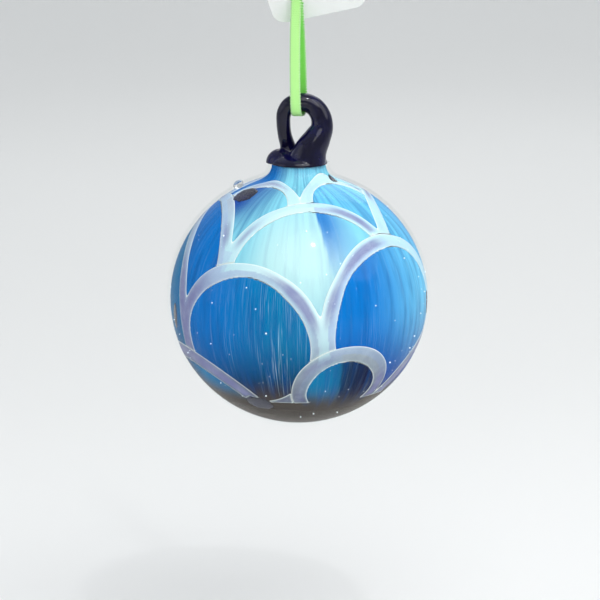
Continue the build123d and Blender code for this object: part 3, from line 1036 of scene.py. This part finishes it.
def nurbs_points(name, route):
    """Points along a smooth open line that has the route as its control points."""
    curve = bpy.data.curves.new(name, "CURVE")
    curve.dimensions = "3D"
    curve.resolution_u = 64
    spline = curve.splines.new("NURBS")
    spline.points.add(len(route) - 1)
    for point, place in zip(spline.points, route):
        point.co = (*place, 1.0)
    spline.order_u = 3
    spline.use_endpoint_u = True
    carrier = bpy.data.objects.new(name, curve)
    bpy.context.scene.collection.objects.link(carrier)
    mesh = evaluated_mesh(carrier)
    line = np.array([v.co[:] for v in mesh.vertices])
    bpy.data.meshes.remove(mesh)
    bpy.data.objects.remove(carrier)
    bpy.data.curves.remove(curve)
    return line


def even_line(line, step):
    """The same line with its points evenly spaced, and the distance along it."""
    gaps = np.linalg.norm(np.diff(line, axis=0), axis=1)
    travel = np.concatenate([[0], np.cumsum(gaps)])
    count = max(2, round(travel[-1] / step))
    at = np.linspace(0, travel[-1], count + 1)
    return np.column_stack([np.interp(at, travel, line[:, k]) for k in range(3)]), at


def ribbon_strip(line, travel, across, sizes):
    """Woven strip with a rib for each weft and a scalloped selvedge, and the weave's own coordinates."""
    columns = np.linspace(-1, 1, 9)
    lift = sizes.ribbon_thickness / 2
    sections, weave = [], []
    for distance in travel:
        scallop = abs(sin(pi * distance / sizes.scallop))
        half = sizes.ribbon_width / 2 * (0.86 + 0.14 * scallop)
        rib = 0.72 + 0.28 * cos(2 * pi * distance / (sizes.scallop / 2))
        thick = lift * rib * np.sqrt(np.clip(1.04 - columns ** 4, 0.05, 1))
        over = list(zip(half * columns, thick))
        under = list(zip(half * columns[::-1], -thick[::-1]))
        sections.append(over + under)
        weave.extend([(distance / MM, x / MM) for x, _ in over + under])
    points, faces = sweep(line, sections, across)
    return points, faces, weave


def add_weave_map(piece, weave):
    """Lay the weave's coordinates on the piece as a UV map."""
    layer = piece.data.uv_layers.new(name="weave")
    corners = np.array([weave[loop.vertex_index] for loop in piece.data.loops], dtype=np.float32)
    layer.data.foreach_set("uv", corners.ravel())


class ORNAMENT_OT_ribbon(Ornament, bpy.types.Operator):
    """Thread the doubled ribbon through the hook's eye"""
    bl_idname = "ornament.ribbon"
    bl_label = "Ribbon"

    def execute(self, context):
        sizes = self.sizes
        line, travel = even_line(nurbs_points("ribbon_line", RIBBON_ROUTE), sizes.scallop / 8)
        points, faces, weave = ribbon_strip(line, travel, np.tile([1.0, 0.0, 0.0], (len(line), 1)), sizes)
        ribbon = new_piece("ribbon_strip", points, faces,
                           shared("lime_ribbon_weave", make_ribbon_weave, self.colours))
        add_weave_map(ribbon, weave)
        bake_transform(ribbon)
        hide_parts("ribbon")
        return {"FINISHED"}


KNOT_WIDTH, KNOT_DEPTH, KNOT_HEIGHT = 6.4 * MM, 5.0 * MM, 4.6 * MM
# Each tail's route in millimetres, and how far it leans by its end, in radians.
TAILS = [([(-0.6, 0.6, 3.6), (-0.4, 1.2, 8.5), (-0.9, 2.6, 13.6), (-1.3, 4.0, 17.0)], 0.25),
         ([(0.5, -0.6, 3.6), (0.3, -1.1, 7.4), (1.0, -2.2, 12.0), (1.7, -3.9, 16.0)], -0.35)]


def knot_strap():
    """The crossed strap of the knot: a trefoil pulled tight, with creases along it."""
    t = np.linspace(0, 2 * pi, 240, endpoint=False)
    swing = (2 + np.cos(3 * t)) / 3
    middle = KNOT_HEIGHT / 2
    line = np.column_stack([swing * np.cos(2 * t) * (KNOT_WIDTH / 2 - 0.6 * MM),
                            np.sin(3 * t) * (KNOT_DEPTH / 2 - 0.9 * MM),
                            middle + swing * np.sin(2 * t) * (middle - 0.5 * MM)])
    along = np.roll(line, -1, 0) - np.roll(line, 1, 0)
    side = unit_rows(np.cross(along, line - [0, 0, middle]))
    face = unit_rows(np.cross(side, along))
    bow = np.linspace(-1, 1, 9)
    ring = 2 * len(bow)
    points, faces, weave = [], [], []
    for i, (centre, u, v) in enumerate(zip(line, side, face)):
        half = 1.15 * MM * (1 + 0.12 * sin(5 * t[i]))
        crease = 0.10 * MM * np.sin(7 * bow + 3 * t[i])
        top = [(half * b, 0.28 * MM * (1.2 - b * b) + c) for b, c in zip(bow, crease)]
        low = [(x, y - 0.55 * MM) for x, y in top[::-1]]
        points.extend(centre + u * x + v * y for x, y in top + low)
        weave.extend((i * 0.1, x / MM) for x, _ in top + low)
        n = (i + 1) % len(line)
        for j in range(ring):
            k = (j + 1) % ring
            faces.append((i * ring + j, i * ring + k, n * ring + k, n * ring + j))
    return points, faces, weave


def cut_tail(route, lean, sizes):
    """One loose end of the ribbon, leaning as it rises and cut on a slant."""
    line = nurbs_points("tail_line", [(x * MM, y * MM, z * MM) for x, y, z in route])
    line, travel = even_line(line, sizes.scallop / 8)
    across = [(cos(lean * s), sin(lean * s), 0.0) for s in np.linspace(0, 1, len(line))]
    points, faces, weave = ribbon_strip(line, travel, np.array(across), sizes)
    ring, slant = len(points) // len(line), 0.45
    for j in range(len(points) - ring, len(points)):
        points[j] = points[j] + Vector((0, 0, slant * (points[j][0] - line[-1][0])))
    return points, faces, weave


class ORNAMENT_OT_knot(Ornament, bpy.types.Operator):
    """Tie the knot that closes the loop, with its cut tails"""
    bl_idname = "ornament.knot"
    bl_label = "Knot"

    def execute(self, context):
        points, faces, weave = knot_strap()
        for route, lean in TAILS:
            more, quads, cloth = cut_tail(route, lean, self.sizes)
            start = len(points)
            points.extend(more)
            weave.extend(cloth)
            faces.extend(tuple(start + i for i in quad) for quad in quads)
        knot = new_piece("ribbon_knot_tied", points, faces,
                         shared("lime_ribbon_weave", make_ribbon_weave, self.colours))
        add_weave_map(knot, weave)
        settle(knot, "knot", "ribbon_weave", "ribbon_knot")
        return {"FINISHED"}


TAG_WIDTH, TAG_HEIGHT, TAG_CORNER = 28.5 * MM, 42.0 * MM, 4.0 * MM
TAG_HOLE_RADIUS, TAG_HOLE_SIDE, TAG_HOLE_EDGE = 2.8 * MM, 9.4 * MM, 8.6 * MM
TAG_LEAN, TAG_ASKEW = radians(30), radians(15)


def tag_outline():
    """The card's rounded outline, about its hole."""
    middle = Vector((TAG_WIDTH / 2 - TAG_HOLE_SIDE, TAG_HEIGHT / 2 - TAG_HOLE_EDGE))
    reach = Vector((TAG_WIDTH / 2 - TAG_CORNER, TAG_HEIGHT / 2 - TAG_CORNER))
    outline = []
    for across, up, start in ((1, 1, 0.0), (-1, 1, pi / 2), (-1, -1, pi), (1, -1, 1.5 * pi)):
        corner = middle + Vector((across * reach.x, up * reach.y))
        for angle in np.linspace(start, start + pi / 2, 12):
            outline.append(corner + TAG_CORNER * Vector((cos(angle), sin(angle))))
    return outline


class ORNAMENT_OT_tag(Ornament, bpy.types.Operator):
    """Cut the punched card tag that hangs on both strands"""
    bl_idname = "ornament.tag"
    bl_label = "Card Tag"

    def execute(self, context):
        outline = tag_outline()
        hole = [TAG_HOLE_RADIUS * point.normalized() for point in outline]
        form = bmesh.new()
        rings = []
        for share in (0.0, 0.03, 0.12, 0.3, 0.5, 0.7, 0.88, 0.98, 1.0):
            rings.append([form.verts.new((*inner.lerp(outer, share), 0.0))
                          for inner, outer in zip(hole, outline)])
        for low, high in zip(rings, rings[1:]):
            for i in range(len(low)):
                j = (i + 1) % len(low)
                form.faces.new((low[i], high[i], high[j], low[j]))
        right = Vector((cos(TAG_ASKEW), -sin(TAG_LEAN) * sin(TAG_ASKEW), cos(TAG_LEAN) * sin(TAG_ASKEW)))
        out = Vector((0, -cos(TAG_LEAN), -sin(TAG_LEAN)))
        up = out.cross(right)
        for vertex in form.verts:
            x, y = vertex.co.x, vertex.co.y
            curl = 0.9 * MM * ((y / TAG_HEIGHT) ** 2) + 0.35 * MM * (x / TAG_WIDTH) * (y / TAG_HEIGHT)
            vertex.co = TAG_HOLE + right * x + up * y - out * curl
        bmesh.ops.recalc_face_normals(form, faces=form.faces)
        tag = form_piece("punched_tag", form, shared("white_tag_card", make_card, self.colours))
        card = tag.modifiers.new("card", "SOLIDIFY")
        card.thickness, card.offset = self.sizes.card_thickness, 0.0
        soften = tag.modifiers.new("cut edge", "BEVEL")
        soften.width, soften.segments, soften.limit_method = 0.06 * MM, 2, "ANGLE"
        settle(tag, "tag", "white_card", "tag")
        return {"FINISHED"}


# The studio's bowl, in metres, and its lamps: longitude and latitude seen from the ball, distance, width
# and power.
FLOOR_DROP, FLOOR_RADIUS, COVE, WALL = 0.075, 1.1, 0.9, 1.7
LAMPS = {"key_softbox": (16, 52, 0.95, 0.80, 3.8), "right_softbox": (66, 42, 1.1, 0.9, 3.6),
         "sparkle": (22, 60, 0.8, 0.035, 0.6), "low_fill": (8, -4, 1.0, 0.5, 0.9),
         "left_fill": (-75, 18, 1.2, 0.9, 1.2), "back_light": (170, 42, 1.2, 0.9, 3.0)}


class ORNAMENT_OT_stage(Ornament, bpy.types.Operator):
    """Set the pale studio, its soft lights and the camera"""
    bl_idname = "ornament.stage"
    bl_label = "Studio"

    def execute(self, context):
        scene = context.scene
        floor = BALL_LOW.z - FLOOR_DROP
        outline = [(0.0, floor), (FLOOR_RADIUS, floor)]
        for angle in np.linspace(0, pi / 2, 14)[1:]:
            outline.append((FLOOR_RADIUS + COVE * sin(angle), floor + COVE * (1 - cos(angle))))
        outline.append((FLOOR_RADIUS + COVE, floor + WALL))
        points, faces = lathe(outline, 128)
        studio = new_piece("studio_paper", points, [f[::-1] for f in faces],
                           shared("pale_studio_paper", make_studio_paper))

        middle = Vector((0, 0, CENTRE_Z))
        for name, (longitude, latitude, distance, size, power) in LAMPS.items():
            lamp = bpy.data.lights.new(name, "AREA")
            lamp.shape, lamp.size, lamp.energy = "DISK", size, power
            light = bpy.data.objects.new(name, lamp)
            scene.collection.objects.link(light)
            light.location = middle + Vector(outward(longitude, latitude)) * distance
            light.rotation_euler = (light.location - middle).to_track_quat("Z", "Y").to_euler()

        world = bpy.data.worlds.new("studio_air")
        world.use_nodes = True
        air = world.node_tree.nodes["Background"]
        air.inputs["Color"].default_value = (0.90, 0.95, 1.0, 1.0)
        air.inputs["Strength"].default_value = 0.62
        scene.world = world

        elevation, distance = radians(13), 1.01
        lens = bpy.data.cameras.new("front_view")
        lens.lens, lens.sensor_width = 200.0, 36.0
        camera = bpy.data.objects.new("front_view", lens)
        scene.collection.objects.link(camera)
        aim = middle + Vector((0.36 * MM, 0, -1.85 * MM))
        camera.location = aim + Vector((0, -cos(elevation), sin(elevation))) * distance
        camera.rotation_euler = (camera.location - aim).to_track_quat("Z", "Y").to_euler()
        scene.camera = camera
        scene.view_settings.view_transform = "Standard"
        return {"FINISHED"}


OPERATORS = [ORNAMENT_OT_bubble, ORNAMENT_OT_web, ORNAMENT_OT_seeds, ORNAMENT_OT_hook, ORNAMENT_OT_knot,
             ORNAMENT_OT_tag, ORNAMENT_OT_ribbon, ORNAMENT_OT_stage]


class ORNAMENT_PT_panel(bpy.types.Panel):
    """Sizes, colours and the steps of the ornament"""
    bl_idname = "ORNAMENT_PT_panel"
    bl_label = "Glass Ball Ornament"
    bl_space_type = "VIEW_3D"
    bl_region_type = "UI"
    bl_category = "Ornament"

    def draw(self, context):
        layout = self.layout
        for group in (context.scene.ornament_sizes, context.scene.ornament_colours):
            box = layout.box()
            for name in type(group).__annotations__:
                box.prop(group, name)
        for operator in OPERATORS:
            layout.operator(operator.bl_idname)


CLASSES = [OrnamentSizes, OrnamentColours, *OPERATORS, ORNAMENT_PT_panel]


def register():
    for cls in CLASSES:
        bpy.utils.register_class(cls)
    bpy.types.Scene.ornament_sizes = bpy.props.PointerProperty(type=OrnamentSizes)
    bpy.types.Scene.ornament_colours = bpy.props.PointerProperty(type=OrnamentColours)


def unregister():
    del bpy.types.Scene.ornament_colours
    del bpy.types.Scene.ornament_sizes
    for cls in reversed(CLASSES):
        bpy.utils.unregister_class(cls)


def main():
    """Build the whole ornament."""
    register()
    for operator in OPERATORS:
        group, name = operator.bl_idname.split(".")
        getattr(getattr(bpy.ops, group), name)()


if __name__ == "__main__":
    main()
